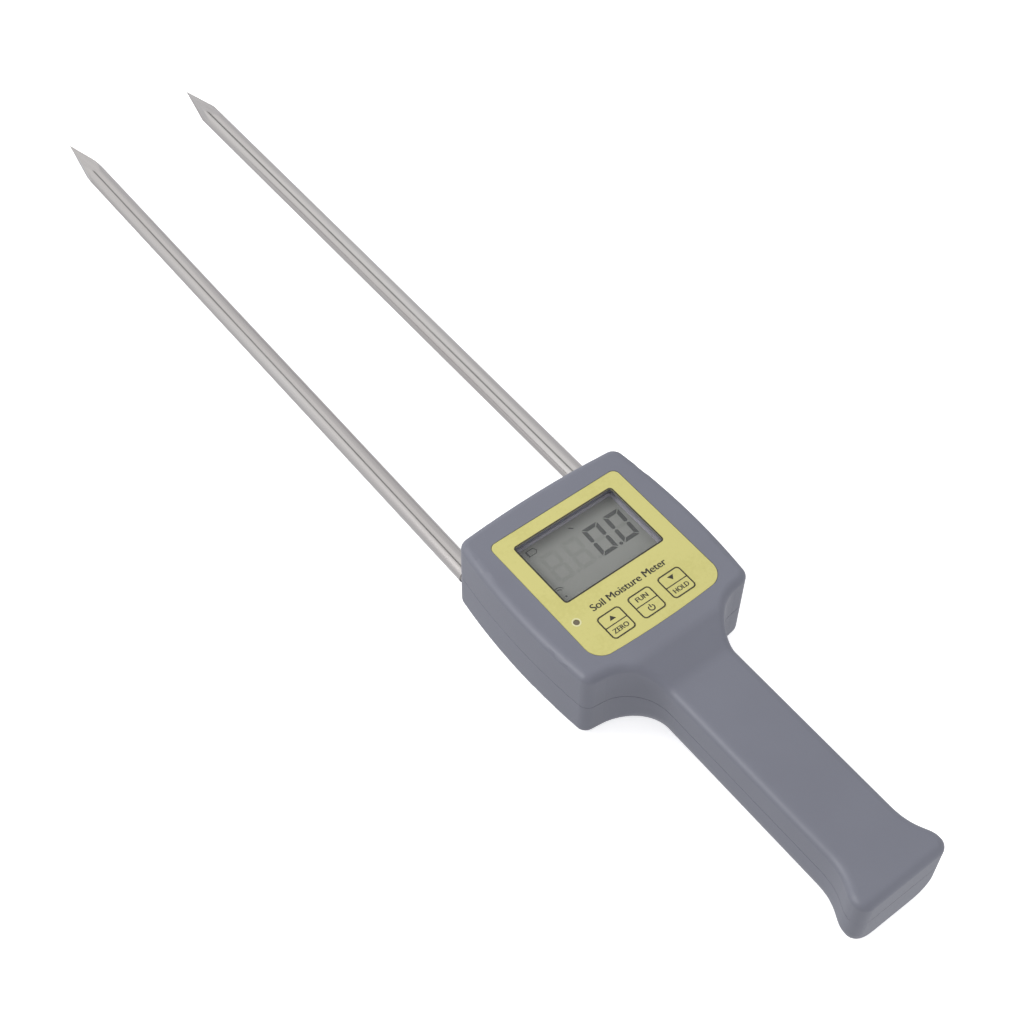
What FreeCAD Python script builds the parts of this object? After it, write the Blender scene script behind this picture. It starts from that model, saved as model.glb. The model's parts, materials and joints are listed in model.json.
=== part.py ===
import FreeCAD, Part
import math
import os

os.makedirs("parts", exist_ok=True)

# Soil moisture meter: a two-shell plastic body with a panel, two steel probes and a 9 V battery.
# Everything is modelled with Y = 0 at the display's centre; save() moves it to the row frame, whose
# origin is under the middle of the whole length. +Y runs to the probe tips, +Z out of the panel.

# ---- driving dimensions, in millimetres ----
total_length = 462.0
butt_y = -151.35            # end of the handle
tip_y = butt_y + total_length
thickness = 35.0            # back of the head to the rim of the panel
parting_z = 17.5            # where the front and rear shells meet
wall = 2.0

head_top_y = 29.2           # end face at the probes, on the centre line
head_corner = (34.7, 27.7)  # top corner before rounding
head_belly = (37.3, -5.0)   # widest point of the bowed sides
head_foot = (35.1, -42.2)   # bottom corner before rounding
shoulder_start = (28.0, -43.1)
handle_start_y = -59.5
handle_half = 14.0
flare_start_y = -130.0
flare_half = 18.4
flare_end_y = -147.0
top_corner_r = 4.5
foot_corner_r = 4.2
butt_corner_r = 4.0

panel_edge_r = 3.0          # rounding round the front of the case
back_edge_r = 4.0           # rounding round the back of the head
handle_back_r = 11.0        # and of the handle
butt_back_r = 10.0          # and of the butt
handle_top_z = 29.5
slope_top_y = -45.8         # the face runs down to the handle between these two
slope_foot_y = -58.1
crest_r = 7.0               # roundings at the top and the foot of that slope
hollow_r = 9.0
groove_width = 0.2          # the parting line
groove_depth = 0.2

label_half = 27.75
label_top_y = 19.5
label_foot_y = -38.75
label_side_foot_y = -37.6
label_top_r = 2.6
label_foot_r = 6.5
label_t = 0.4
label_gap = 0.15
label_recess = 0.5
window_size = (42.4, 27.9)
window_r = 1.0

key_x = (-13.08, 0.0, 13.08)
key_y = -30.0
key_size = (9.5, 10.0)
key_r = 1.5
key_gap = 0.12
key_room = 0.4              # space under a key pad
plunger_r = 1.8
plunger_hole_r = 2.2
led_xy = (-23.4, -22.0)
led_r = 1.0

probe_x = 29.0
probe_z = 9.5
probe_r = 4.0
probe_bore_r = 3.2
probe_root_r = 3.6          # inside the case
probe_root_end_y = 29.3
probe_plug_end_y = 31.5     # the tube is solid up to here
probe_shoulder_y = 9.0
probe_stud_r = 2.5
probe_stud_end_y = 1.5
nut_half = 4.0              # half its width across the flats
nut_t = 3.6
tip_length = 26.0
tip_facets = 4
tip_overrun = 1.2           # the ground pyramid is this much larger than the point it leaves
tip_plug_length = 6.0       # solid behind the point
tip_edge_angle = {-1: 136.0, 1: 124.0}   # where one edge of the point faces, about the probe
socket_r = 6.2
socket_end_t = 2.0

board_top_z = 25.8
board_t = 1.6
board_half = 31.0
board_y = (-38.6, 20.4)
bezel_top_z = 31.8
lcd_top_z = 30.3
glass_t = 2.2
lens_t = 1.0
lcd_size = (49.0, 35.0)
frame_size = (51.2, 37.4)

battery_half = 13.25
battery_y = (-26.0, 20.5)
battery_z = (2.6, 20.1)
bay_half = 13.85
bay_y = (-36.0, 21.0)
bay_wall = 2.15
bay_roof_z = (20.7, 21.7)
door_half = 14.8
door_y = (-36.8, 21.8)
door_t = 2.0
door_gap = 0.2
tab_x = (-6.5, 6.5)
tab_half = 2.5
tab_z = (2.4, 3.6)

head_room_end_y = -42.0     # the wide room of the head ends here, the handle's begins
head_screws = [(-19.5, 24.0), (19.5, 24.0), (-29.5, -35.0), (29.5, -35.0)]
handle_screws = [(0.0, -66.0), (0.0, -140.0)]
board_screws = [(-28.4, 17.4), (28.4, 17.4), (-22.4, -35.4), (22.4, -35.4)]
boss_r = 2.9
boss_foot_r = 4.4           # round a screw's head
screw_seat_z = 6.0
board_boss_r = 2.3
lead_r = 0.6
switch_body_h = 3.5
terminal_x = 6.35

board_low_z = board_top_z - board_t
pad_low_z = thickness - label_recess
stem_top_z = board_top_z + 5.0
battery_mid_z = (battery_z[0] + battery_z[1]) / 2
snap_y = (battery_y[0] - 5.2, battery_y[0] - 0.1)
row_y = -(tip_y + butt_y) / 2


def vec(x, y, z=0.0):
    return FreeCAD.Vector(x, y, z)


def save(name, shape):
    moved = shape.copy()
    moved.translate(vec(0, row_y, 0))
    if not moved.isValid():
        print("not valid:", name)
    moved.exportStep("parts/" + name + ".step")


def join(shapes):
    return shapes[0].multiFuse(shapes[1:]).removeSplitter() if len(shapes) > 1 else shapes[0]


def block(x0, x1, y0, y1, z0, z1):
    return Part.makeBox(x1 - x0, y1 - y0, z1 - z0, vec(x0, y0, z0))


def upright(x, y, r, z0, z1):
    return Part.makeCylinder(r, z1 - z0, vec(x, y, z0))


def along_y(x, z, r, y0, y1):
    return Part.makeCylinder(r, y1 - y0, vec(x, y0, z), vec(0, 1, 0))


def rounded_block(cx, cy, width, height, r, z0, z1):
    """A block standing on its width x height side, with its four upright edges rounded."""
    solid = block(cx - width / 2, cx + width / 2, cy - height / 2, cy + height / 2, z0, z1)
    return solid.makeFillet(r, upright_edges(solid))


def upright_edges(solid, near=None):
    """Edges parallel to Z; with near, only those at one of the given (x, y) points."""
    found = []
    for edge in solid.Edges:
        start, end = edge.firstVertex().Point, edge.lastVertex().Point
        if abs(start.z - end.z) < 0.05 or math.hypot(start.x - end.x, start.y - end.y) > 1e-6:
            continue
        if near is None or any(math.hypot(start.x - x, start.y - y) < 0.05 for x, y in near):
            found.append(edge)
    return found


def mirrored_wire(edges):
    """A closed outline from the edges of its right half, which start and end on x = 0."""
    left = [edge.mirror(vec(0, 0, 0), vec(1, 0, 0)) for edge in edges]
    return Part.Wire(Part.__sortEdges__(edges + left))


def line(p, q):
    return Part.makeLine(vec(*p), vec(*q))


def arc(p, q, r):
    return Part.Arc(vec(*p), vec(*q), vec(*r)).toShape()


def bezier(points):
    curve = Part.BezierCurve()
    curve.setPoles([vec(*p) for p in points])
    return curve.toShape()


# ---- outer form ----
# Each outline is the right half, from the middle of the probe end round to the middle of the butt,
# and inset draws it that much further in.
def inset_point(point, dx, dy):
    return (point[0] + dx, point[1] + dy)


def shoulder(inset):
    """The hollow curve from the foot of the head into the side of the handle."""
    reach = 1 + inset / 14.0
    start = inset_point(shoulder_start, 0, inset)
    end = (handle_half - inset, handle_start_y)
    leave = (start[0] - 7.5 * reach, start[1] - 0.96 * reach)
    arrive = (end[0], end[1] + 8.0 * reach)
    return [bezier([start, leave, arrive, end])]


def flare(inset):
    """The curve by which the handle widens towards its end."""
    start = (handle_half - inset, flare_start_y)
    end = (flare_half - inset, flare_end_y)
    return [bezier([start, inset_point(start, 0, -11.0), inset_point(end, 0, 4.7), end])]


def head_side(inset):
    corner = inset_point(head_corner, -inset, -inset)
    foot = inset_point(head_foot, -inset, inset)
    crown = [(0, head_top_y - inset), (17.6, head_top_y - 0.39 - inset), corner]
    side = [corner, inset_point(head_belly, -inset, 0), foot]
    return [arc(*crown), arc(*side), line(foot, inset_point(shoulder_start, 0, inset))] + shoulder(inset)


def handle_side(inset):
    side, butt = flare_half - inset, butt_y + inset
    straight = line((handle_half - inset, handle_start_y), (handle_half - inset, flare_start_y))
    end = [line((side, flare_end_y), (side, butt)), line((side, butt), (0, butt))]
    return [straight] + flare(inset) + end


def rounded_outline_solid(edges, z0, z1, corners):
    """Extrudes a mirrored outline and rounds its upright corners, given as (radius, point) pairs."""
    solid = Part.Face(mirrored_wire(edges)).extrude(vec(0, 0, z1 - z0))
    solid.translate(vec(0, 0, z0))
    for r, (x, y) in corners:
        solid = solid.makeFillet(r, upright_edges(solid, [(-x, y), (x, y)]))
    return solid


def head_corners(inset):
    return [(top_corner_r - inset, inset_point(head_corner, -inset, -inset)),
            (foot_corner_r - inset, inset_point(head_foot, -inset, inset))]


def inside(inset, z0, z1):
    """The body between two heights, its sides upright and set in by inset."""
    butt_corner = (flare_half - inset, butt_y + inset)
    corners = head_corners(inset) + [(butt_corner_r - inset, butt_corner)]
    return rounded_outline_solid(head_side(inset) + handle_side(inset), z0, z1, corners)


def above_the_top(drop):
    """Everything above the face, the neck slope and the top of the handle, all lowered by drop."""
    face_z, grip_z = thickness - drop, handle_top_z - drop
    pitch = math.atan2(face_z - grip_z, slope_top_y - slope_foot_y)
    crest_run, hollow_run = crest_r * math.tan(pitch / 2), hollow_r * math.tan(pitch / 2)
    side_x, far_y, high_z = -60.0, 90.0, thickness + 20.0

    def crest(angle):
        return (side_x, slope_top_y + crest_run - crest_r * math.sin(angle),
                face_z - crest_r * (1 - math.cos(angle)))

    def hollow(angle):
        return (side_x, slope_foot_y - hollow_run + hollow_r * math.sin(angle),
                grip_z + hollow_r * (1 - math.cos(angle)))

    corners = [hollow(0), (side_x, butt_y - 20, grip_z), (side_x, butt_y - 20, high_z),
               (side_x, far_y, high_z), (side_x, far_y, face_z), crest(0)]
    path = [arc(crest(0), crest(pitch / 2), crest(pitch)), line(crest(pitch), hollow(pitch)),
            arc(hollow(pitch), hollow(pitch / 2), hollow(0))]
    path += [line(p, q) for p, q in zip(corners, corners[1:])]
    return Part.Face(Part.Wire(path)).extrude(vec(-2 * side_x, 0, 0))


def rim_edges(solid, low_z, high_z):
    """Edges at the border of the top or bottom surface: they lie between the two heights, and one
    of the faces that they join is upright."""
    found = []
    for edge in solid.Edges:
        box = edge.BoundBox
        if box.ZMin < low_z or box.ZMax > high_z:
            continue
        faces = solid.ancestorsOfType(edge, Part.Face)
        middle = edge.valueAt((edge.FirstParameter + edge.LastParameter) / 2)
        lean = []
        for face in faces:
            u, v = face.Surface.parameter(middle)
            lean.append(abs(face.normalAt(u, v).z))
        if len(lean) == 2 and min(lean) < 0.02 and max(lean) > 0.5:
            found.append(edge)
    return found


def front_outer():
    solid = inside(0, parting_z, thickness).cut(above_the_top(0))
    return solid.makeFillet(panel_edge_r, rim_edges(solid, handle_top_z - 1, thickness + 1))


def rounded(solid, edges, r_at):
    """Rounds some edges of a solid; r_at gives the radius at either end of each."""
    document = FreeCAD.newDocument("rounding")
    sharp = document.addObject("Part::Feature", "sharp")
    sharp.Shape = solid
    result = document.addObject("Part::Fillet", "result")
    result.Base = sharp
    stretches = []
    for number, edge in enumerate(solid.Edges, 1):
        if any(edge.isSame(other) for other in edges):
            start, end = edge.firstVertex(True).Point, edge.lastVertex(True).Point
            stretches.append((number, r_at(start), r_at(end)))
    result.Edges = stretches
    document.recompute()
    return result.Shape.Solids[0]


def back_r(point):
    """Radius of the back edge at the end of a stretch of the outline."""
    if point.y > handle_start_y + 1:
        return back_edge_r
    return handle_back_r if point.y > flare_start_y - 1 else butt_back_r


def rear_outer():
    """The rear of the body, flat at the back. The rounding of its back edge grows along the
    shoulder, stays the same down the handle and shrinks a little along the flare."""
    solid = rounded_outline_solid(head_side(0) + handle_side(0), 0, parting_z, head_corners(0))
    rim = [edge for edge in rim_edges(solid, -1, 1) if edge.BoundBox.YMax > butt_y + 0.1]
    body = rounded(solid, rim, back_r)
    end_rim = [edge for edge in body.Edges
               if edge.BoundBox.YMax < butt_y + 0.01 and edge.BoundBox.ZMin < parting_z - 0.01]
    return body.makeFillet(butt_corner_r - 0.05, end_rim)


def grip_section(half, y, r, low_z):
    """Cross-section of the room in the handle: flat top at the parting, rounded lower corners."""
    turn = r * math.sqrt(0.5)
    side = line((half, y, parting_z), (half, y, low_z + r))
    corner = arc((half, y, low_z + r), (half - r + turn, y, low_z + r - turn), (half - r, y, low_z))
    top, bottom = line((0, y, parting_z), (half, y, parting_z)), line((half - r, y, low_z), (0, y, low_z))
    return mirrored_wire([top, side, corner, bottom])


# ---- case ----
def lip(inner, outer, height):
    """The tongue that stands on the rear shell's wall, or the groove for it."""
    return inside(outer, parting_z, parting_z + height).cut(inside(inner, parting_z, parting_z + height))


def front_bosses():
    low = board_top_z
    bosses = [upright(x, y, boss_r, parting_z, thickness - wall) for x, y in head_screws]
    bosses += [upright(x, y, boss_r, parting_z, handle_top_z - wall) for x, y in handle_screws]
    bosses += [upright(x, y, board_boss_r, low, thickness - wall) for x, y in board_screws]
    return bosses


def front_case():
    cavity = inside(wall, parting_z, thickness - wall).cut(above_the_top(wall))
    shell = join([front_outer().cut(cavity)] + front_bosses())
    cuts = [lip(wall, 0.95, 1.35)]
    cuts += [upright(x, y, 1.2, parting_z - 1, parting_z + 8) for x, y in head_screws + handle_screws]
    cuts += [upright(x, y, 0.9, board_top_z - 1, board_top_z + 5) for x, y in board_screws]
    cuts += [label_outline(label_gap, thickness - label_recess, thickness + 1)]
    open_w, open_h = window_size[0] + 0.4, window_size[1] + 0.4
    cuts += [rounded_block(0, 0, open_w, open_h, window_r, thickness - 4, thickness)]
    pad_low = thickness - label_recess - key_room
    for x in key_x:
        width, height = key_size[0] + 2 * key_gap, key_size[1] + 2 * key_gap
        cuts += [rounded_block(x, key_y, width, height, key_r, pad_low, thickness)]
        cuts += [upright(x, key_y, plunger_hole_r, thickness - 4, thickness)]
    cuts += [upright(led_xy[0], led_xy[1], led_r + 0.1, thickness - 4, thickness)]
    return shell.cut(cuts)


def socket(side):
    """The sleeve in which a probe is held: a bored block with an end wall for the probe's stud."""
    x = side * probe_x
    low_y = probe_shoulder_y - socket_end_t
    sleeve = along_y(x, probe_z, socket_r, low_y, head_top_y - 1)
    rib = block(x - 1.2, x + 1.2, low_y, head_top_y - 2, 1.0, probe_z)
    return join([sleeve, rib])


def battery_bay():
    """Walls and roof round the battery, standing on the back of the case."""
    outer = block(-bay_half - bay_wall, bay_half + bay_wall, bay_y[0] - bay_wall, bay_y[1] + bay_wall,
                  1.0, bay_roof_z[1])
    hollow = block(-bay_half, bay_half, bay_y[0], bay_y[1], 0, bay_roof_z[0])
    lead_way = block(-8, 8, bay_y[0] + 0.8, bay_y[0] + 6, bay_roof_z[0] - 1, bay_roof_z[1] + 1)
    return outer.cut([hollow, lead_way])


def rear_case():
    outer = rear_outer()
    cavity_floor = inside(wall, wall, parting_z).common(block(-60, 60, head_room_end_y, 60, 0, 40))
    grip = Part.Face(grip_section(handle_half - wall, head_room_end_y + 0.5, handle_back_r - wall, wall))
    grip = grip.extrude(vec(0, butt_y + wall + 1 - head_room_end_y, 0))
    shell = outer.cut([cavity_floor, grip])
    extra = [battery_bay(), lip(wall, 1.05, 1.2)]
    extra += [socket(side).common(outer) for side in (-1, 1)]
    for x, y in head_screws + handle_screws:
        extra.append(upright(x, y, boss_r, wall - 1, parting_z))
        extra.append(upright(x, y, boss_foot_r, wall - 1, screw_seat_z + 1.6))
    shell = join([shell] + extra)
    groove_z = parting_z - groove_width
    cuts = [inside(0, groove_z, parting_z).cut(inside(groove_depth, groove_z, parting_z))]
    for x, y in head_screws + handle_screws:
        cuts += [upright(x, y, 1.6, -1, parting_z + 2), upright(x, y, 2.8, -1, screw_seat_z)]
    for side in (-1, 1):
        cuts += [along_y(side * probe_x, probe_z, probe_root_r + 0.05, probe_shoulder_y, head_top_y + 2)]
        stud_y = (probe_shoulder_y - 5, probe_shoulder_y + 1)
        cuts += [along_y(side * probe_x, probe_z, probe_stud_r + 0.1, *stud_y)]
    cuts += [block(-door_half - door_gap, door_half + door_gap, door_y[0] - door_gap, door_y[1] + door_gap,
                   -1, door_t + 0.15)]
    for x in tab_x:
        cuts += [block(x - tab_half - 0.3, x + tab_half + 0.3, bay_y[0] - bay_wall - 1, bay_y[0] + 1,
                       wall, tab_z[1] + 4)]
    return shell.cut(cuts)


def battery_door():
    """A flush door that pivots on its lower edge: two tabs hook behind the wall of the case."""
    mid_y, length = (door_y[0] + door_y[1]) / 2, door_y[1] - door_y[0]
    plate = rounded_block(0, mid_y, 2 * door_half, length, 0.8, 0, door_t)
    extra = [block(x - 0.6, x + 0.6, bay_y[0] + 8, bay_y[1] - 2, door_t - 0.5, battery_z[0] - 0.15)
             for x in (-8.0, 8.0)]
    for x in tab_x:
        extra += [block(x - tab_half, x + tab_half, door_y[0] + 0.6, door_y[0] + 4, door_t - 0.5, tab_z[1])]
        extra += [block(x - tab_half, x + tab_half, door_y[0] - 2.6, door_y[0] + 1, tab_z[0], tab_z[1])]
    door = join([plate] + extra)
    # a U-shaped cut frees the snap tongue, and a shallow scoop takes a fingertip
    tongue_half, tongue_y = 5.0, door_y[1] - 9.0
    slots = [block(side * tongue_half - 0.3, side * tongue_half + 0.3, tongue_y, door_y[1] + 1, -1, 3)
             for side in (-1, 1)]
    scoop = Part.makeSphere(9.0, vec(0, door_y[1] - 3.2, -8.1))
    return door.cut(slots + [scoop])


def screws(places, head_r, seat_z, length, thread_r):
    """Pan-head screws with cross slots, their points up; seat_z is the face over the head."""
    head_t = 1.6
    made = []
    for x, y in places:
        head = upright(x, y, head_r, seat_z - head_t, seat_z)
        body = head.fuse(upright(x, y, thread_r, seat_z, seat_z + length))
        cross = [block(x - a, x + a, y - b, y + b, seat_z - head_t - 1, seat_z - head_t + 0.7)
                 for a, b in ((1.3, 0.25), (0.25, 1.3))]
        made.append(body.cut(cross))
    return Part.makeCompound(made)


# ---- panel, display and keys ----
def label_outline(grow, z0, z1):
    half, top = label_half + grow, label_top_y + grow
    foot, side_foot = label_foot_y - grow, label_side_foot_y - grow
    right = [line((0, top), (half, top)), line((half, top), (half, side_foot)),
             arc((half, side_foot), (half / 2, foot + (side_foot - foot) / 4), (0, foot))]
    corners = [(label_top_r, (half, top)), (label_foot_r, (half, side_foot))]
    return rounded_outline_solid(right, z0, z1, corners)


def panel_label():
    z0, z1 = thickness - label_recess, thickness - label_recess + label_t
    cuts = [rounded_block(0, 0, window_size[0], window_size[1], window_r, z0 - 1, z1 + 1)]
    for x in key_x:
        width, height = key_size[0] + 2 * key_gap, key_size[1] + 2 * key_gap
        cuts.append(rounded_block(x, key_y, width, height, key_r, z0 - 1, z1 + 1))
    cuts.append(upright(led_xy[0], led_xy[1], led_r + 0.1, z0 - 1, z1 + 1))
    return label_outline(0, z0, z1).cut(cuts)


def display_window():
    top = thickness - wall
    return rounded_block(0, 0, window_size[0] + 3.2, window_size[1] + 3.2, 1.5, top - lens_t, top)


def lcd_panel():
    upper = rounded_block(0, 0, lcd_size[0], lcd_size[1] - 3.0, 0.4, lcd_top_z - glass_t / 2, lcd_top_z)
    lower = rounded_block(0, 0, lcd_size[0], lcd_size[1], 0.4, lcd_top_z - glass_t, lcd_top_z - glass_t / 2)
    return join([upper, lower])


def lcd_frame():
    """The frame clipped over the display: its bezel ends under the window, its shelf backs the glass."""
    outer = rounded_block(0, 0, frame_size[0], frame_size[1], 1.0, board_top_z, bezel_top_z)
    well = rounded_block(0, 0, lcd_size[0] + 0.2, lcd_size[1] + 0.2, 0.5, board_top_z - 1, lcd_top_z)
    open_w, open_h = window_size[0] + 0.2, window_size[1] + 0.2
    opening = rounded_block(0, 0, open_w, open_h, window_r, lcd_top_z - 1, bezel_top_z + 1)
    shelf = rounded_block(0, 0, lcd_size[0] + 0.2, 29.0, 0.5, board_top_z + 0.8, board_top_z + 1.6)
    return join([outer.cut([well, opening]), shelf])


def lcd_reflector():
    low = lcd_top_z - glass_t - 0.5
    return rounded_block(0, 0, 45.0, 28.6, 0.5, low, low + 0.45)


def zebra_strips():
    made = []
    for side in (-1, 1):
        y = side * (lcd_size[1] / 2 - 1.1)
        made.append(block(-22.5, 22.5, y - 1.0, y + 1.0, board_top_z, lcd_top_z - glass_t))
    return Part.makeCompound(made)


def key(x):
    """A key pad with the plunger that reaches down to its switch."""
    pad = rounded_block(x, key_y, key_size[0], key_size[1], key_r - 0.1, pad_low_z, pad_low_z + label_t)
    return join([pad, upright(x, key_y, plunger_r, stem_top_z + 0.05, pad_low_z + 0.1)])


def switch_body(x):
    body = block(x - 3, x + 3, key_y - 3, key_y + 3, board_top_z, board_top_z + switch_body_h)
    well = upright(x, key_y, 1.75 + 0.25, board_top_z + 1.2, board_top_z + 9)
    legs = [block(x + a - 0.35, x + a + 0.35, key_y + b - 0.15, key_y + b + 0.15,
                  board_top_z - board_t - 1.0, board_top_z + 0.2) for a in (-2.25, 2.25) for b in (-2.7, 2.7)]
    return join([body.cut(well)] + legs)


def switch_stem(x):
    return upright(x, key_y, 1.75, board_top_z + 2.0, stem_top_z)


def indicator_led():
    x, y = led_xy
    lens = upright(x, y, led_r, board_top_z + 1.0, thickness - label_recess + 0.25)
    return join([lens, upright(x, y, 1.5, board_top_z, board_top_z + 1.5)])


# ---- electronics ----
def main_circuit_board():
    low = board_top_z - board_t
    board = block(-board_half, board_half, board_y[0], board_y[1], low, board_top_z)
    cuts = [upright(x, y, boss_r + 1.2, low - 1, board_top_z + 1) for x, y in head_screws]
    cuts += [upright(x, y, 1.2, low - 1, board_top_z + 1) for x, y in board_screws]
    cuts += [block(x + a - 0.45, x + a + 0.45, key_y + b - 0.25, key_y + b + 0.25, low - 1, board_top_z + 1)
             for x in key_x for a in (-2.25, 2.25) for b in (-2.7, 2.7)]
    return board.cut(cuts)


def meter_chip():
    body = block(-25, -18, -26, -16, board_low_z - 1.9, board_low_z - 0.3)
    legs = [block(x, x + 1.2, y, y + 0.4, board_low_z - 1.2, board_low_z)
            for x in (-26.0, -18.2) for y in (-25.3, -23.6, -21.9, -20.2, -18.5, -16.8)]
    return join([body] + legs)


def crystal_can():
    return rounded_block(22.5, -20.0, 4.4, 10.6, 2.1, board_low_z - 3.4, board_low_z)


def tuning_coil():
    """A coil on a bobbin, for the high-frequency measuring circuit."""
    x, y = -22.5, -8.0
    discs = [upright(x, y, 3.8, board_low_z - drop, board_low_z - drop + 1.0) for drop in (1.0, 6.0)]
    return join(discs + [upright(x, y, 3.0, board_low_z - 5.5, board_low_z - 0.5)])


def smoothing_capacitor():
    return upright(22.5, -8.0, 3.1, board_low_z - 7.0, board_low_z)


# ---- probes ----
def around(x, reach, angle):
    """The (x, z) point at an angle in degrees from +X, as far as reach from a probe's axis."""
    turn = math.radians(angle)
    return x + reach * math.cos(turn), probe_z + reach * math.sin(turn)


def probe(side):
    """A steel tube with a ground solid point, a solid root and a stud at the inner end."""
    x = side * probe_x
    base_y = tip_y - tip_overrun * tip_length
    stud = along_y(x, probe_z, probe_stud_r, probe_stud_end_y, probe_shoulder_y + 1)
    facet_turn = 360 / tip_facets
    reach = tip_overrun * probe_r / math.cos(math.radians(facet_turn / 2))
    angles = [tip_edge_angle[side] + facet_turn * i for i in range(tip_facets + 1)]
    corners = [around(x, reach, angle) for angle in angles]
    base = Part.makePolygon([vec(corner_x, base_y, corner_z) for corner_x, corner_z in corners])
    point = Part.makeLoft([base, Part.Vertex(vec(x, tip_y, probe_z))], True, True)
    waste = block(x - 9, x + 9, base_y, tip_y + 1, probe_z - 9, probe_z + 9).cut(point)
    root = along_y(x, probe_z, probe_root_r, probe_shoulder_y, probe_root_end_y + 1)
    barrel = along_y(x, probe_z, probe_r, probe_root_end_y, tip_y + 0.5)
    bore = along_y(x, probe_z, probe_bore_r, probe_plug_end_y, base_y - tip_plug_length)
    return join([root, barrel, stud]).cut([bore, waste])


def probe_terminal(side):
    """A ring tag on the stud, with a tail for its lead."""
    x = side * probe_x
    y1 = probe_shoulder_y - socket_end_t
    y0 = y1 - 0.8
    ring = along_y(x, probe_z, 4.5, y0, y1)
    tail = block(x - 1.5, x + 1.5, y0, y1, probe_z, probe_z + 7.0)
    return join([ring, tail]).cut(along_y(x, probe_z, probe_stud_r + 0.1, y0 - 1, y1 + 1))


def probe_nut(side):
    x = side * probe_x
    y1 = probe_shoulder_y - socket_end_t - 0.8
    corners = [around(x, nut_half / math.cos(math.radians(30)), 60 * i) for i in range(7)]
    ring = [vec(corner_x, y1, corner_z) for corner_x, corner_z in corners]
    nut = Part.Face(Part.makePolygon(ring)).extrude(vec(0, -nut_t, 0))
    return nut.cut(along_y(x, probe_z, probe_stud_r, y1 - 5, y1 + 1))


def tube(points, r, bend):
    """A round wire along straight runs joined by tangent arcs."""
    route = [vec(*p) for p in points]
    edges = []
    at = route[0]
    for before, corner, after in zip(route, route[1:], route[2:]):
        into, out = (corner - before).normalize(), (after - corner).normalize()
        turn = into.getAngle(out)
        cut = bend * math.tan(turn / 2)
        begin, end = corner - into * cut, corner + out * cut
        inward = (out - into).normalize()
        middle = corner + inward * (bend / math.cos(turn / 2) - bend)
        edges += [Part.makeLine(at, begin), Part.Arc(begin, middle, end).toShape()]
        at = end
    edges.append(Part.makeLine(at, route[-1]))
    start = Part.Wire(Part.makeCircle(r, route[0], route[1] - route[0]))
    return Part.Wire(edges).makePipeShell([start], True, True)


def probe_lead(side):
    x, y = side * probe_x, probe_shoulder_y - socket_end_t - 0.4
    low = probe_z + 7.0
    inner = x - side * 2.5
    points = [(x, y, low), (x, y, low + 2.6), (inner, y - 2, low + 5.2), (inner, y - 2, board_low_z)]
    return tube(points, lead_r, 1.3)


# ---- battery ----
def battery():
    body = block(-battery_half, battery_half, battery_y[0], battery_y[1], battery_z[0], battery_z[1])
    edges = [edge for edge in body.Edges if abs(edge.BoundBox.YMax - edge.BoundBox.YMin) > 40]
    body = body.makeFillet(2.0, edges)
    posts = [along_y(-terminal_x, battery_mid_z, 2.8, battery_y[0] - 2.6, battery_y[0] + 1),
             along_y(terminal_x, battery_mid_z, 4.2, battery_y[0] - 2.6, battery_y[0] + 1)]
    return join([body] + posts)


def battery_snap():
    body = block(-12.8, 12.8, snap_y[0], snap_y[1], battery_z[0] + 0.8, battery_z[1] - 0.8)
    edges = [edge for edge in body.Edges if abs(edge.BoundBox.YMax - edge.BoundBox.YMin) > 4]
    body = body.makeFillet(1.5, edges)
    holes = [along_y(-terminal_x, battery_mid_z, 2.95, battery_y[0] - 2.7, battery_y[0] + 1),
             along_y(terminal_x, battery_mid_z, 4.35, battery_y[0] - 2.7, battery_y[0] + 1)]
    return body.cut(holes)


def battery_lead(side):
    x, y = side * 6.0, snap_y[0]
    return tube([(x, y, 15.0), (x, y - 2.4, 15.0), (x, y - 2.4, board_low_z)], lead_r, 1.3)


def battery_pad():
    return block(-9, 9, -20, 15, battery_z[1], bay_roof_z[0])


pieces = {
    "front_case": front_case(),
    "rear_case": rear_case(),
    "battery_door": battery_door(),
    "case_screws": screws(head_screws + handle_screws, 2.6, screw_seat_z, 17.0, 1.2),
    "panel_label": panel_label(),
    "display_window": display_window(),
    "indicator_led": indicator_led(),
    "lcd_panel": lcd_panel(),
    "lcd_frame": lcd_frame(),
    "lcd_reflector": lcd_reflector(),
    "zebra_strips": zebra_strips(),
    "main_circuit_board": main_circuit_board(),
    "circuit_board_screws": screws(board_screws, 1.9, board_low_z, 5.5, 0.9),
    "meter_chip": meter_chip(),
    "crystal_can": crystal_can(),
    "tuning_coil": tuning_coil(),
    "smoothing_capacitor": smoothing_capacitor(),
    "battery": battery(),
    "battery_snap": battery_snap(),
    "battery_pad": battery_pad(),
}
for word, x in zip(("zero_up", "function_power", "hold_down"), key_x):
    pieces["key_" + word] = key(x)
    pieces["switch_body_" + word] = switch_body(x)
    pieces["switch_stem_" + word] = switch_stem(x)
for word, side in (("left", -1), ("right", 1)):
    pieces[word + "_probe"] = probe(side)
    pieces[word + "_probe_nut"] = probe_nut(side)
    pieces[word + "_probe_terminal"] = probe_terminal(side)
    pieces[word + "_probe_lead"] = probe_lead(side)
for word, side in (("positive", 1), ("negative", -1)):
    pieces["battery_lead_" + word] = battery_lead(side)

for name, shape in pieces.items():
    save(name, shape)
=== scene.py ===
import json
import math

import bmesh
import bpy
from mathutils import Matrix, Vector


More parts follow.
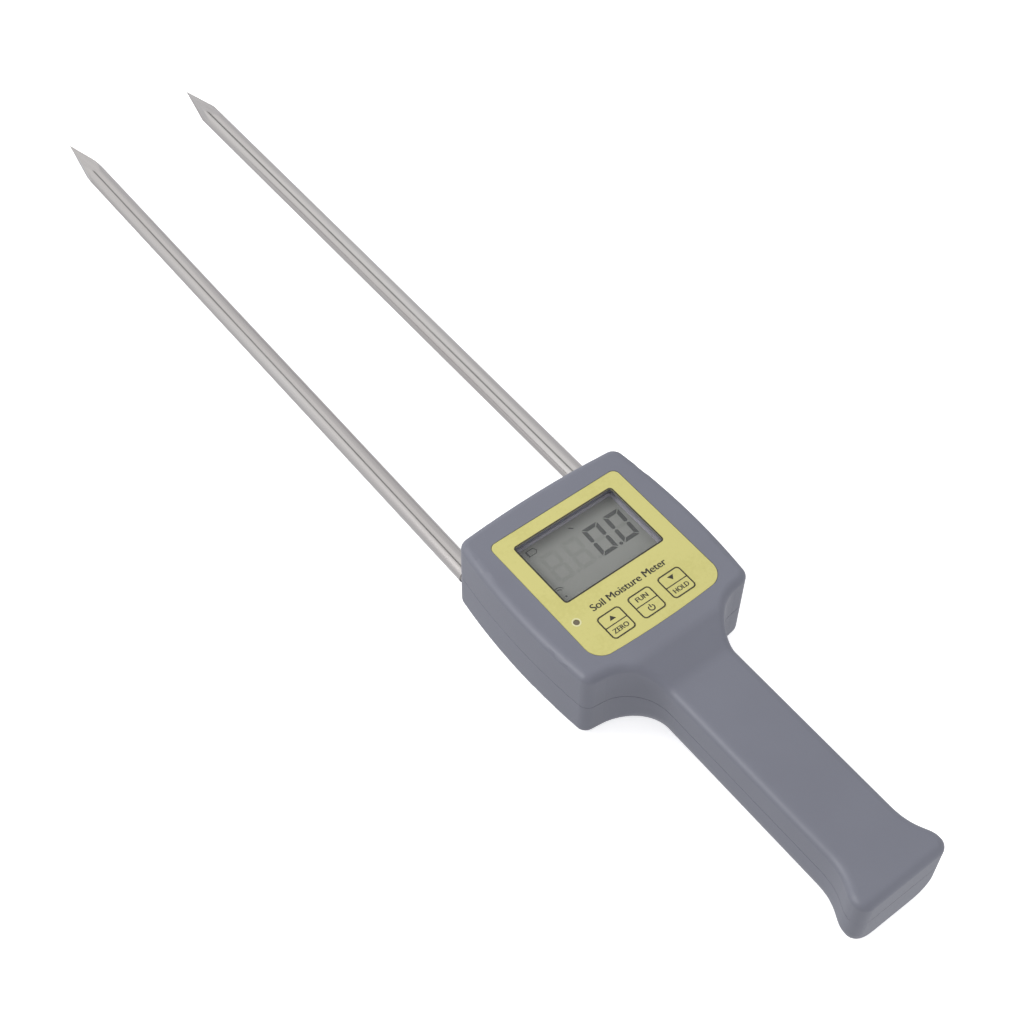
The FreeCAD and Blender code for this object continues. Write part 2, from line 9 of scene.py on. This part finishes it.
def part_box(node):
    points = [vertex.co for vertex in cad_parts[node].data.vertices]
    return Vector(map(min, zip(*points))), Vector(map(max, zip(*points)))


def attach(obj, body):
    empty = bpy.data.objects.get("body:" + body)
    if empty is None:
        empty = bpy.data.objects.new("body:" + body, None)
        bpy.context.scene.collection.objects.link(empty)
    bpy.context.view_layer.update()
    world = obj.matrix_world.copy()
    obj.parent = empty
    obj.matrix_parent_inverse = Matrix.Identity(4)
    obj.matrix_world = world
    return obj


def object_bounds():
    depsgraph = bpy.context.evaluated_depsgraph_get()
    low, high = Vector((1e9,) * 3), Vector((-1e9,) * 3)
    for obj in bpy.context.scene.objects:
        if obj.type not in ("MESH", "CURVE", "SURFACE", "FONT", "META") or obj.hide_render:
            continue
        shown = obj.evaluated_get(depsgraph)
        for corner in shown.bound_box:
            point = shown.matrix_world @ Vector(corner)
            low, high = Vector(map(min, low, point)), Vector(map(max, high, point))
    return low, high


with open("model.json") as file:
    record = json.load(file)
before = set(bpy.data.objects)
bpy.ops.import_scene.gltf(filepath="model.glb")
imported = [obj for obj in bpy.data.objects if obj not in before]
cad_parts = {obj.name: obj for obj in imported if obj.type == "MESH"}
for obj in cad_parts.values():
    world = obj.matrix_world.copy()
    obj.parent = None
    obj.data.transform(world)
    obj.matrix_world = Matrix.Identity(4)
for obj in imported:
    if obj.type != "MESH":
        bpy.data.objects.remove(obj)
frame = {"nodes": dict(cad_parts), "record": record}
cad_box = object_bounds()
nodes = frame["nodes"]

MM = 0.001
CAD_LOW = cad_box[0]
FLOOR_HALF = 60.0             # far enough that the horizon stays near the top of the lowest views
FLOOR_DROP = 0.4 * MM
FLOOR_GLOW = 0.60
OVERLAY = 0.02 * MM           # lifts one print clear of another it crosses

label_low, label_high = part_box("panel_label")
LABEL_TOP = label_high.z
PANEL_X = (label_low.x + label_high.x) / 2
lens_low, lens_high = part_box("display_window")
PANEL_Y = (lens_low.y + lens_high.y) / 2        # the display's centre: the panel's own zero
LCD_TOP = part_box("lcd_panel")[1].z
KEYS = ("zero_up", "function_power", "hold_down")


def spot(x, y, z):
    """A place on the panel: x and y in millimetres from the display's centre, z in metres."""
    return Vector((PANEL_X + x * MM, PANEL_Y + y * MM, z))


# ---------------------------------------------------------------- camera and light
CAMERA_AT = Vector((-0.2395, -0.3341, 0.5136))
CAMERA_TARGET = Vector((-0.00516, -0.04446, 0.020))
CAMERA_ROLL = math.radians(1.134)
LENS, SENSOR = 61.6, 36.0


def make_camera():
    camera = bpy.data.objects.new("camera", bpy.data.cameras.new("camera"))
    bpy.context.scene.collection.objects.link(camera)
    aim = (CAMERA_TARGET - CAMERA_AT).to_track_quat("-Z", "Y").to_matrix()
    aim @= Matrix.Rotation(CAMERA_ROLL, 3, "Z")
    camera.matrix_world = Matrix.Translation(CAMERA_AT) @ aim.to_4x4()
    camera.data.sensor_width = SENSOR
    camera.data.lens = LENS
    camera.data.clip_start = 0.01
    camera.data.clip_end = 20.0
    bpy.context.scene.camera = camera


def make_light(name, location, size, power, target=(0, 0, 0), mirrored=True, diffuse=True):
    data = bpy.data.lights.new(name, "AREA")
    data.shape = "RECTANGLE"
    data.size, data.size_y = size
    data.energy = power
    light = bpy.data.objects.new(name, data)
    bpy.context.scene.collection.objects.link(light)
    light.location = location
    light.visible_glossy = mirrored
    light.visible_diffuse = diffuse
    light.rotation_euler = (Vector(target) - Vector(location)).to_track_quat("-Z", "Y").to_euler()


STUDIO_SIDE = (-0.34, 0.62, 0.70)       # the studio is brightest on this side
STUDIO_TINTS = ((0.30, (0.76, 0.76, 0.775)), (0.55, (0.66, 0.66, 0.6732)),
                (0.75, (0.78, 0.78, 0.7956)), (0.95, (1.0, 1.0, 1.0)))
STUDIO_STRENGTH = 1.05
SEAM_NORMAL = (0.906, 0.0, 0.424)       # the dark seam lies in the plane square to this
SEAM_STRENGTH = 0.12
SEAM_HALF, SEAM_EDGE = 0.03, 0.14       # where it is darkest and where it has faded out
SEAM_LOW, SEAM_HIGH = 0.20, 0.45        # it fades in between these heights, clear of the horizon


def make_world():
    """A soft studio, with a narrow dark seam overhead that the rods show as a line along them."""
    world = bpy.data.worlds.new("studio")
    bpy.context.scene.world = world
    world.use_nodes = True
    tree = world.node_tree
    back = tree.nodes["Background"]
    coords = tree.nodes.new("ShaderNodeTexCoord").outputs["Generated"]

    def add(kind, *links, operation=None, **inputs):
        node = tree.nodes.new(kind)
        if operation:
            node.operation = operation
        for name, value in inputs.items():
            node.inputs[name.replace("_", " ")].default_value = value
        for source, target in links:
            tree.links.new(source, node.inputs[target])
        return node

    def toward(direction):
        node = add("ShaderNodeVectorMath", (coords, 0), operation="DOT_PRODUCT")
        node.inputs[1].default_value = direction
        return node.outputs["Value"]

    side = toward(Vector(STUDIO_SIDE).normalized())
    shift = add("ShaderNodeMapRange", (side, "Value"), From_Min=-1.0)
    tint = add("ShaderNodeValToRGB", (shift.outputs[0], 0))
    stops = tint.color_ramp.elements
    for place in (0, -1):
        stops[place].position = STUDIO_TINTS[place][0]
        stops[place].color = (*STUDIO_TINTS[place][1], 1)
    for position, colour in STUDIO_TINTS[1:-1]:
        stops.new(position).color = (*colour, 1)
    tree.links.new(tint.outputs[0], back.inputs[0])

    size = add("ShaderNodeMath", (toward(SEAM_NORMAL), 0), operation="ABSOLUTE")
    seam = add("ShaderNodeMapRange", (size.outputs[0], "Value"), From_Min=SEAM_HALF, From_Max=SEAM_EDGE,
               To_Min=SEAM_STRENGTH, To_Max=STUDIO_STRENGTH)
    height = add("ShaderNodeSeparateXYZ", (coords, 0))
    aloft = add("ShaderNodeMapRange", (height.outputs["Z"], "Value"), From_Min=SEAM_LOW, From_Max=SEAM_HIGH)
    faded = add("ShaderNodeMix", (aloft.outputs[0], "Factor"), (seam.outputs[0], "B"), A=STUDIO_STRENGTH)
    tree.links.new(faded.outputs["Result"], back.inputs[1])


def make_stage():
    mesh = bpy.data.meshes.new("floor")
    corners = [(x * FLOOR_HALF, y * FLOOR_HALF, 0) for x, y in ((-1, -1), (1, -1), (1, 1), (-1, 1))]
    mesh.from_pydata(corners, [], [(0, 1, 2, 3)])
    floor = bpy.data.objects.new("floor", mesh)
    floor.location.z = CAD_LOW.z - FLOOR_DROP
    bpy.context.scene.collection.objects.link(floor)
    shader = new_material("floor_paper")
    shader["bsdf"].inputs["Base Color"].default_value = (0.93, 0.93, 0.93, 1)
    shader["bsdf"].inputs["Roughness"].default_value = 0.9
    shader["bsdf"].inputs["Emission Color"].default_value = (1, 1, 1, 1)
    shader["bsdf"].inputs["Emission Strength"].default_value = FLOOR_GLOW
    floor.data.materials.append(shader["material"])
    # only the camera sees the paper, so it doesn't light the sides or show in the steel
    floor.visible_diffuse = False
    floor.visible_glossy = False


# ---------------------------------------------------------------- materials
def new_material(name):
    """A material with its principled shader and a helper for adding nodes."""
    material = bpy.data.materials.new(name)
    material.use_nodes = True
    tree = material.node_tree
    bsdf = tree.nodes["Principled BSDF"]

    def add(kind, **settings):
        node = tree.nodes.new(kind)
        for key, value in settings.items():
            setattr(node, key, value)
        return node

    def link(source, target):
        tree.links.new(source, target)

    return {"material": material, "bsdf": bsdf, "add": add, "link": link}


def object_coords(kit, scale=(1, 1, 1)):
    coords = kit["add"]("ShaderNodeTexCoord")
    mapping = kit["add"]("ShaderNodeMapping")
    mapping.inputs["Scale"].default_value = scale
    kit["link"](coords.outputs["Object"], mapping.inputs["Vector"])
    return mapping.outputs["Vector"]


def noise(kit, vector, scale, detail=3.0, rough=0.5):
    node = kit["add"]("ShaderNodeTexNoise")
    node.inputs["Scale"].default_value = scale
    node.inputs["Detail"].default_value = detail
    node.inputs["Roughness"].default_value = rough
    kit["link"](vector, node.inputs["Vector"])
    return node.outputs["Fac"]


def ramp(kit, fac, stops):
    node = kit["add"]("ShaderNodeValToRGB")
    elements = node.color_ramp.elements
    while len(elements) < len(stops):
        elements.new(0.5)
    for element, (position, colour) in zip(elements, stops):
        element.position = position
        element.color = (*colour, 1) if len(colour) == 3 else colour
    kit["link"](fac, node.inputs[0])
    return node.outputs[0]


def grey(value):
    return (value, value, value)


def bump(kit, height, strength, distance):
    node = kit["add"]("ShaderNodeBump")
    node.inputs["Strength"].default_value = strength
    node.inputs["Distance"].default_value = distance
    kit["link"](height, node.inputs["Height"])
    kit["link"](node.outputs[0], kit["bsdf"].inputs["Normal"])


def plain(name, dark, light, roughness=(0.4, 0.5), metallic=0.0, scale=400.0, relief=0.05, specular=0.5):
    """A moulded or painted surface: two close colours and a roughness that vary with fine noise."""
    kit = new_material(name)
    vector = object_coords(kit)
    fine = noise(kit, vector, scale)
    broad = noise(kit, vector, scale / 20)
    kit["link"](ramp(kit, broad, [(0.3, dark), (0.7, light)]), kit["bsdf"].inputs["Base Color"])
    rough = ramp(kit, fine, [(0.25, grey(roughness[0])), (0.75, grey(roughness[1]))])
    kit["link"](rough, kit["bsdf"].inputs["Roughness"])
    kit["bsdf"].inputs["Metallic"].default_value = metallic
    kit["bsdf"].inputs["Specular IOR Level"].default_value = specular
    if relief:
        bump(kit, fine, relief, 0.0002)
    return kit["material"]


def case_material():
    """Grey moulded plastic with a very fine spark-eroded grain."""
    kit = new_material("case_plastic")
    vector = object_coords(kit)
    grain = noise(kit, vector, 2600.0, 2.0)
    cloud = noise(kit, vector, 45.0, 2.0)
    colour = ramp(kit, cloud, [(0.3, (0.165, 0.171, 0.208)), (0.7, (0.173, 0.180, 0.218))])
    kit["link"](colour, kit["bsdf"].inputs["Base Color"])
    rough = ramp(kit, grain, [(0.2, grey(0.40)), (0.8, grey(0.52))])
    kit["link"](rough, kit["bsdf"].inputs["Roughness"])
    kit["bsdf"].inputs["Specular IOR Level"].default_value = 0.45
    bump(kit, grain, 0.10, 0.00008)
    return kit["material"]


def label_material():
    """Screen-printed polyester: a yellow that is slightly mottled, under a satin face."""
    kit = new_material("label_print")
    vector = object_coords(kit)
    mottle = noise(kit, vector, 900.0, 4.0, 0.6)
    cloud = noise(kit, vector, 60.0, 2.0)
    mix = kit["add"]("ShaderNodeMath", operation="ADD")
    kit["link"](mottle, mix.inputs[0])
    kit["link"](cloud, mix.inputs[1])
    colour = ramp(kit, mix.outputs[0], [(0.75, (0.545, 0.508, 0.170)), (1.0, (0.578, 0.540, 0.190))])
    kit["link"](colour, kit["bsdf"].inputs["Base Color"])
    rough = ramp(kit, mottle, [(0.2, grey(0.34)), (0.8, grey(0.46))])
    kit["link"](rough, kit["bsdf"].inputs["Roughness"])
    bump(kit, mottle, 0.06, 0.00006)
    return kit["material"]


def steel_material():
    """Drawn stainless rod: fine scratches and streaks that run along Y."""
    kit = new_material("drawn_steel")
    streaks = noise(kit, object_coords(kit, (1.0, 0.012, 1.0)), 900.0, 4.0, 0.6)
    soft = noise(kit, object_coords(kit, (1.0, 0.03, 1.0)), 160.0, 3.0)
    colour = ramp(kit, soft, [(0.3, (0.48, 0.455, 0.445)), (0.7, (0.57, 0.555, 0.545))])
    kit["link"](colour, kit["bsdf"].inputs["Base Color"])
    rough = ramp(kit, streaks, [(0.3, grey(0.16)), (0.7, grey(0.26))])
    kit["link"](rough, kit["bsdf"].inputs["Roughness"])
    kit["bsdf"].inputs["Metallic"].default_value = 1.0
    bump(kit, streaks, 0.25, 0.00005)
    return kit["material"]


def lcd_material():
    """The display's reflective face: greenish grey with a faint even grain."""
    kit = new_material("lcd_face")
    vector = object_coords(kit)
    grain = noise(kit, vector, 3000.0, 2.0)
    colour = ramp(kit, grain, [(0.3, (0.278, 0.287, 0.266)), (0.7, (0.290, 0.299, 0.278))])
    kit["link"](colour, kit["bsdf"].inputs["Base Color"])
    kit["bsdf"].inputs["Roughness"].default_value = 0.35
    kit["bsdf"].inputs["Specular IOR Level"].default_value = 0.15
    return kit["material"]


def window_material():
    """Clear acrylic, shown by its gloss."""
    kit = new_material("clear_acrylic")
    vector = object_coords(kit)
    smear = noise(kit, vector, 70.0, 3.0)
    rough = ramp(kit, smear, [(0.3, grey(0.05)), (0.7, grey(0.10))])
    kit["link"](rough, kit["bsdf"].inputs["Roughness"])
    kit["bsdf"].inputs["Base Color"].default_value = (0.25, 0.25, 0.26, 1)
    kit["bsdf"].inputs["Alpha"].default_value = 0.08
    return kit["material"]


def slot_materials():
    """One material for each slot of the record."""
    black = plain("black_plastic", grey(0.018), grey(0.03), (0.4, 0.55))
    return {
        "case": case_material(),
        "label": label_material(),
        "key_pad": label_material(),
        "window": window_material(),
        "indicator": plain("indicator_lens", (0.13, 0.11, 0.07), (0.17, 0.14, 0.10), (0.15, 0.25), relief=0),
        "lcd_glass": lcd_material(),
        "bezel_plastic": plain("bezel_plastic", (0.42, 0.41, 0.47), (0.45, 0.44, 0.50), (0.3, 0.4)),
        "reflector": plain("reflector_film", grey(0.5), grey(0.6), (0.25, 0.35)),
        "rubber_strip": plain("strip_rubber", (0.35, 0.16, 0.16), (0.42, 0.2, 0.2), (0.6, 0.7)),
        "circuit_board": plain("solder_mask", (0.01, 0.09, 0.035), (0.015, 0.13, 0.05), (0.25, 0.35)),
        "fastener_steel": plain("zinc_plate", grey(0.45), grey(0.56), (0.3, 0.4), 1.0),
        "stainless_steel": steel_material(),
        "tin_plate": plain("tin_plate", grey(0.6), grey(0.7), (0.2, 0.3), 1.0),
        "copper_wire": plain("enamelled_copper", (0.35, 0.12, 0.04), (0.45, 0.17, 0.06), (0.3, 0.4), 0.6),
        "capacitor_sleeve": plain("capacitor_sleeve", (0.02, 0.03, 0.09), (0.03, 0.04, 0.12), (0.3, 0.4)),
        "black_plastic": black,
        "switch_stem": black,
        "battery_jacket": plain("battery_jacket", (0.05, 0.05, 0.06), (0.07, 0.07, 0.08), (0.3, 0.4)),
        "foam": plain("foam", grey(0.04), grey(0.07), (0.8, 0.95), scale=1500.0, relief=0.6),
        "red_lead": plain("red_insulation", (0.35, 0.012, 0.012), (0.42, 0.02, 0.02), (0.35, 0.45)),
        "black_lead": plain("black_insulation", grey(0.015), grey(0.025), (0.35, 0.45)),
    }


# ---------------------------------------------------------------- flat printed pieces
INK_T = 0.02 * MM


def finish_piece(name, mesh, material, body):
    piece = bpy.data.objects.new(name, mesh)
    bpy.context.scene.collection.objects.link(piece)
    mesh.materials.clear()
    mesh.materials.append(material)
    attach(piece, body)


def slab(bm, outline, z, hole=None):
    """A thin flat solid from a closed outline; with a hole of as many points, a frame."""
    def ring(points, height):
        return [bm.verts.new((p.x, p.y, height)) for p in points]

    low, high = ring(outline, z), ring(outline, z + INK_T)
    count = len(outline)
    if hole is None:
        bm.faces.new(high)
        bm.faces.new(list(reversed(low)))
    else:
        hole_low, hole_high = ring(hole, z), ring(hole, z + INK_T)
    for i in range(count):
        j = (i + 1) % count
        bm.faces.new((low[i], low[j], high[j], high[i]))
        if hole is not None:
            bm.faces.new((high[i], high[j], hole_high[j], hole_high[i]))
            bm.faces.new((low[j], low[i], hole_low[i], hole_low[j]))
            bm.faces.new((hole_low[j], hole_low[i], hole_high[i], hole_high[j]))


def rounded_rectangle(cx, cy, width, height, r, steps=6):
    """The outline of a rounded rectangle on the panel, anticlockwise."""
    points = []
    for sx, sy, start in ((1, 1, 0), (-1, 1, 90), (-1, -1, 180), (1, -1, 270)):
        for i in range(steps + 1):
            angle = math.radians(start + 90 * i / steps)
            points.append(spot(cx + sx * (width / 2 - r) + r * math.cos(angle),
                               cy + sy * (height / 2 - r) + r * math.sin(angle), 0))
    return points


def frame_print(bm, cx, cy, width, height, r, line, z):
    outer = rounded_rectangle(cx, cy, width, height, r)
    inner = rounded_rectangle(cx, cy, width - 2 * line, height - 2 * line, max(r - line, 0.2))
    slab(bm, outer, z, inner)


def to_mesh(bm, name):
    bmesh.ops.recalc_face_normals(bm, faces=bm.faces[:])
    mesh = bpy.data.meshes.new(name)
    bm.to_mesh(mesh)
    bm.free()
    return mesh


def lettering(text, name, cx, cy, height, width, z, bold):
    """Text as thin solids of the given height and width in millimetres. It is set three times,
    bold apart, which thickens the strokes."""
    curve = bpy.data.curves.new(name + "_text", "FONT")
    curve.body = text
    curve.align_x, curve.align_y = "CENTER", "CENTER"
    curve.extrude = 0.02
    holder = bpy.data.objects.new(name + "_text", curve)
    bpy.context.scene.collection.objects.link(holder)
    bpy.context.view_layer.update()
    mesh = bpy.data.meshes.new_from_object(holder.evaluated_get(bpy.context.evaluated_depsgraph_get()))
    bpy.data.objects.remove(holder)
    xs = [v.co.x for v in mesh.vertices]
    ys = [v.co.y for v in mesh.vertices]
    middle_x, middle_y = (max(xs) + min(xs)) / 2, (max(ys) + min(ys)) / 2
    scale_x, scale_y = width * MM / (max(xs) - min(xs)), height * MM / (max(ys) - min(ys))
    at = spot(cx, cy, z)
    bm = bmesh.new()
    for copy in (0, 1, 2):
        layer = mesh.copy()
        for v in layer.vertices:
            v.co = (at.x + (v.co.x - middle_x) * scale_x + (copy - 1) * bold * MM,
                    at.y + (v.co.y - middle_y) * scale_y,
                    z + (INK_T if v.co.z > 0 else 0.0) + copy * INK_T * 0.1)
        bm.from_mesh(layer)
    bmesh.ops.remove_doubles(bm, verts=bm.verts[:], dist=1e-7)
    return to_mesh(bm, name)


def polygon(bm, points, z):
    slab(bm, [spot(x, y, 0) for x, y in points], z)


def rectangle(bm, x0, x1, y0, y1, z):
    polygon(bm, [(x0, y0), (x1, y0), (x1, y1), (x0, y1)], z)


KEY_LINE = 0.44
KEY_CORNER_R = 1.5
BAR_HALF = 0.19               # half the line across a key's middle
ARROW_HALF = (1.25, 0.9)
LEGEND_HEIGHT, LEGEND_BOLD = 1.85, 0.08
KEY_X = [(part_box("key_" + word)[0].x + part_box("key_" + word)[1].x) / 2 / MM for word in KEYS]
KEY_LOW, KEY_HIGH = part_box("key_zero_up")
KEY_W = (KEY_HIGH.x - KEY_LOW.x) / MM
KEY_H = (KEY_HIGH.y - KEY_LOW.y) / MM
KEY_Y = ((KEY_HIGH.y + KEY_LOW.y) / 2 - PANEL_Y) / MM


def power_symbol(bm, cx, cy, r, line, z):
    """A ring with a gap at the top, and a short bar in the gap."""
    gap, steps = 38.0, 26
    outer, inner = [], []
    for i in range(steps + 1):
        angle = math.radians(90 + gap + (360 - 2 * gap) * i / steps)
        outer.append((cx + r * math.cos(angle), cy + r * math.sin(angle)))
        inner.append((cx + (r - line) * math.cos(angle), cy + (r - line) * math.sin(angle)))
    for i in range(steps):
        polygon(bm, [outer[i], outer[i + 1], inner[i + 1], inner[i]], z)
    rectangle(bm, cx - line / 2, cx + line / 2, cy + 0.1, cy + r + 0.25, z)


def arrow(bm, cx, cy, way, z):
    """A solid triangle that points up for way 1 and down for way -1."""
    wide, tall = ARROW_HALF[0] * way, ARROW_HALF[1] * way
    polygon(bm, [(cx - wide, cy - tall), (cx + wide, cy - tall), (cx, cy + tall)], z)


def key_prints(ink):
    z = KEY_HIGH.z
    upper, lower = KEY_Y + KEY_H / 4, KEY_Y - KEY_H / 4 + 0.1
    for word, x in zip(KEYS, KEY_X):
        bm = bmesh.new()
        frame_print(bm, x, KEY_Y, KEY_W, KEY_H, KEY_CORNER_R, KEY_LINE, z)
        half = KEY_W / 2 - KEY_LINE * 0.8
        rectangle(bm, x - half, x + half, KEY_Y - BAR_HALF, KEY_Y + BAR_HALF, z)
        if word == "zero_up":
            arrow(bm, x, upper, 1, z)
        if word == "hold_down":
            arrow(bm, x, upper, -1, z)
        if word == "function_power":
            power_symbol(bm, x, lower - 0.15, 1.3, 0.42, z)
        finish_piece("key_outline_" + word, to_mesh(bm, "key_outline_" + word), ink, "key_" + word)
    legends = (("ZERO", lower, 6.2), ("FUN", upper, 4.7), ("HOLD", lower, 6.2))
    for word, x, (text, y, width) in zip(KEYS, KEY_X, legends):
        mesh = lettering(text, "legend_" + word, x, y, LEGEND_HEIGHT, width, z, LEGEND_BOLD)
        finish_piece("legend_" + word, mesh, ink, "key_" + word)


def circle(cx, cy, r, steps):
    turns = [math.tau * i / steps for i in range(steps)]
    return [(cx + r * math.cos(turn), cy + r * math.sin(turn)) for turn in turns]


def ring_print(bm, cx, cy, outer_r, inner_r, z, steps=24):
    outer, inner = ([spot(x, y, 0) for x, y in circle(cx, cy, r, steps)] for r in (outer_r, inner_r))
    slab(bm, outer, z, inner)


INDICATOR_RING = (1.65, 1.15)


def indicator_print(pale):
    """A pale printed ring round the indicator light."""
    low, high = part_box("indicator_led")
    bm = bmesh.new()
    cx, cy = ((low.x + high.x) / 2 - PANEL_X) / MM, ((low.y + high.y) / 2 - PANEL_Y) / MM
    ring_print(bm, cx, cy, *INDICATOR_RING, LABEL_TOP)
    finish_piece("indicator_ring", to_mesh(bm, "indicator_ring"), pale, "meter")


LENS_LIP = 3.2                # the lens is this much wider and higher than the display's opening
BORDER_LINE, BORDER_OVER, BORDER_R = 0.55, 0.8, 1.4
TITLE_AT, TITLE_SIZE, TITLE_BOLD = (-0.17, -20.85), (2.75, 31.9), 0.10


def panel_prints(ink):
    bm = bmesh.new()
    width = (lens_high.x - lens_low.x) / MM - LENS_LIP + BORDER_OVER
    height = (lens_high.y - lens_low.y) / MM - LENS_LIP + BORDER_OVER
    frame_print(bm, 0, 0, width, height, BORDER_R, BORDER_LINE, LABEL_TOP)
    finish_piece("window_border", to_mesh(bm, "window_border"), ink, "meter")
    mesh = lettering("Soil Moisture Meter", "panel_title", *TITLE_AT, *TITLE_SIZE, LABEL_TOP, TITLE_BOLD)
    finish_piece("panel_title", mesh, ink, "meter")


# ---------------------------------------------------------------- display
DIGIT_W, DIGIT_H, STROKE, SLANT = 6.9, 13.0, 1.55, 0.05
DIGIT_PITCH = 9.4
SEGMENT_GAP = 0.16
POINT_R, POINT_OUT = 0.7, 1.45          # a decimal point and its distance from the digit's right side
# places on the display, from its centre as seen through the opening
DIGITS_AT = (-18.2, -7.1)
BATTERY_AT, BATTERY_SIZE, BATTERY_LINE = (-19.7, 7.9), (4.2, 2.6), 0.28
TICK_AT = (-1.6, 9.4)
MARKS_AT = (-20.4, -9.6)
SIGHT_SHIFT = 0.51                      # the picture lies this far up and right per unit of depth


def segment_shapes():
    """The seven segments of a digit whose lower left corner is at 0, 0."""
    w, h, s, gap = DIGIT_W, DIGIT_H, STROKE, SEGMENT_GAP
    half = h / 2
    foot = half + gap + 0.5
    left_top = [(0, foot), (s / 2, half + gap), (s, foot), (s, h - s - gap), (0, h - gap * 2)]
    right_top = [(w - x, y) for x, y in reversed(left_top)]
    top = [(gap * 2, h), (s + gap, h - s), (w - s - gap, h - s), (w - gap * 2, h)]
    bar = [(s * 0.7, half), (s, half + s / 2), (w - s, half + s / 2),
           (w - s * 0.7, half), (w - s, half - s / 2), (s, half - s / 2)]

    def flipped(points):
        return [(x, h - y) for x, y in reversed(points)]

    return {"a": top, "b": right_top, "c": flipped(right_top), "d": flipped(top), "e": flipped(left_top),
            "f": left_top, "g": bar}


def digits(bm, places, lit, left, foot, z):
    shapes = segment_shapes()
    for place in places:
        for name in lit:
            corner = left + place * DIGIT_PITCH
            polygon(bm, [(corner + x + SLANT * y, foot + y) for x, y in shapes[name]], z)


def dot(bm, cx, cy, r, z, steps=20):
    polygon(bm, circle(cx, cy, r, steps), z)


def decimal_point(bm, place, left, foot, z):
    dot(bm, left + place * DIGIT_PITCH + DIGIT_W + POINT_OUT, foot + POINT_R, POINT_R, z)


def display_prints(dark, ghost):
    """The reading 0.0 in dark segments, the faint unlit segments, and the icons."""
    z = LCD_TOP
    shift = SIGHT_SHIFT * (LABEL_TOP - LCD_TOP) / MM
    left, foot = (place + shift for place in DIGITS_AT)
    bm = bmesh.new()
    digits(bm, (2, 3), "abcdef", left, foot, z)
    decimal_point(bm, 2, left, foot, z)
    finish_piece("lcd_digits", to_mesh(bm, "lcd_digits"), dark, "meter")
    bm = bmesh.new()
    digits(bm, (0, 1), "abcdefg", left, foot, z)
    digits(bm, (2, 3), "g", left, foot, z)
    for place in (0, 1):
        decimal_point(bm, place, left, foot, z)
    finish_piece("lcd_unlit_segments", to_mesh(bm, "lcd_unlit_segments"), ghost, "meter")
    bm = bmesh.new()
    battery_icon(bm, BATTERY_AT[0] + shift, BATTERY_AT[1] + shift, z)
    tick_icon(bm, TICK_AT[0] + shift, TICK_AT[1] + shift, z)
    status_marks(bm, MARKS_AT[0] + shift, MARKS_AT[1] + shift, z)
    finish_piece("lcd_icons", to_mesh(bm, "lcd_icons"), dark, "meter")


def battery_icon(bm, x, y, z):
    """An outline with a pointed right end and a bar at its left."""
    (w, h), t = BATTERY_SIZE, BATTERY_LINE
    shoulder, middle, top = x + w - 0.9, y + h / 2, y + h
    outer = [(x, y), (shoulder, y), (x + w, middle), (shoulder, top), (x, top)]
    inner = [(x + t, y + t), (shoulder - 0.1, y + t), (x + w - 0.4, middle), (shoulder - 0.1, top - t),
             (x + t, top - t)]
    slab(bm, [spot(a, b, 0) for a, b in outer], z, [spot(a, b, 0) for a, b in inner])
    rectangle(bm, x, x + 0.6, y, top, z + OVERLAY)


def tick_icon(bm, x, y, z):
    polygon(bm, [(x, y), (x + 1.4, y - 1.2), (x + 1.7, y - 0.9), (x + 0.3, y + 0.3)], z)


def status_marks(bm, x, y, z, start=20, sweep=90, steps=8):
    """Two arcs, one inside the other, over a dot."""
    for outer_r, inner_r in ((2.2, 1.85), (1.3, 0.95)):
        for i in range(steps):
            a, b = (math.radians(start + sweep * k / steps) for k in (i, i + 1))
            corners = ((outer_r, a), (outer_r, b), (inner_r, b), (inner_r, a))
            polygon(bm, [(x + r * math.cos(t), y + r * math.sin(t)) for r, t in reversed(corners)], z)
    dot(bm, x + 0.7, y - 2.4, 0.4, z)


# ---------------------------------------------------------------- putting it together
def dress_nodes(materials):
    slots = {row["node"]: row["material_slot"] for row in frame["record"]["subparts"]}
    for name, node in nodes.items():
        node.data.materials.clear()
        node.data.materials.append(materials[slots[name]])


make_camera()
make_world()
make_stage()
make_light("key_light", (-0.42, 0.38, 0.54), (0.45, 0.45), 3.35, target=(0, -0.08, 0), mirrored=False)
make_light("butt_light", (0.12, -0.62, 0.10), (0.30, 0.12), 0.36, target=(0, -0.23, 0.02), mirrored=False)
make_light("edge_light", (-0.70, 0.12, 0.36), (0.10, 0.60), 3.0, target=(0, -0.06, 0.02), diffuse=False)
dress_nodes(slot_materials())
ink = plain("printed_ink", (0.02, 0.018, 0.012), (0.035, 0.03, 0.02), (0.4, 0.5), relief=0)
panel_prints(ink)
key_prints(ink)
indicator_print(plain("pale_print", (0.66, 0.64, 0.36), (0.72, 0.70, 0.42), (0.4, 0.5), relief=0))
segment_dark = plain("lcd_segment", (0.078, 0.082, 0.080), (0.088, 0.092, 0.090), (0.3, 0.4),
                     relief=0, specular=0.1)
segment_ghost = plain("lcd_unlit", (0.250, 0.258, 0.239), (0.259, 0.267, 0.248), (0.3, 0.4),
                      relief=0, specular=0.15)
display_prints(segment_dark, segment_ghost)
bpy.context.scene.view_settings.view_transform = "Standard"
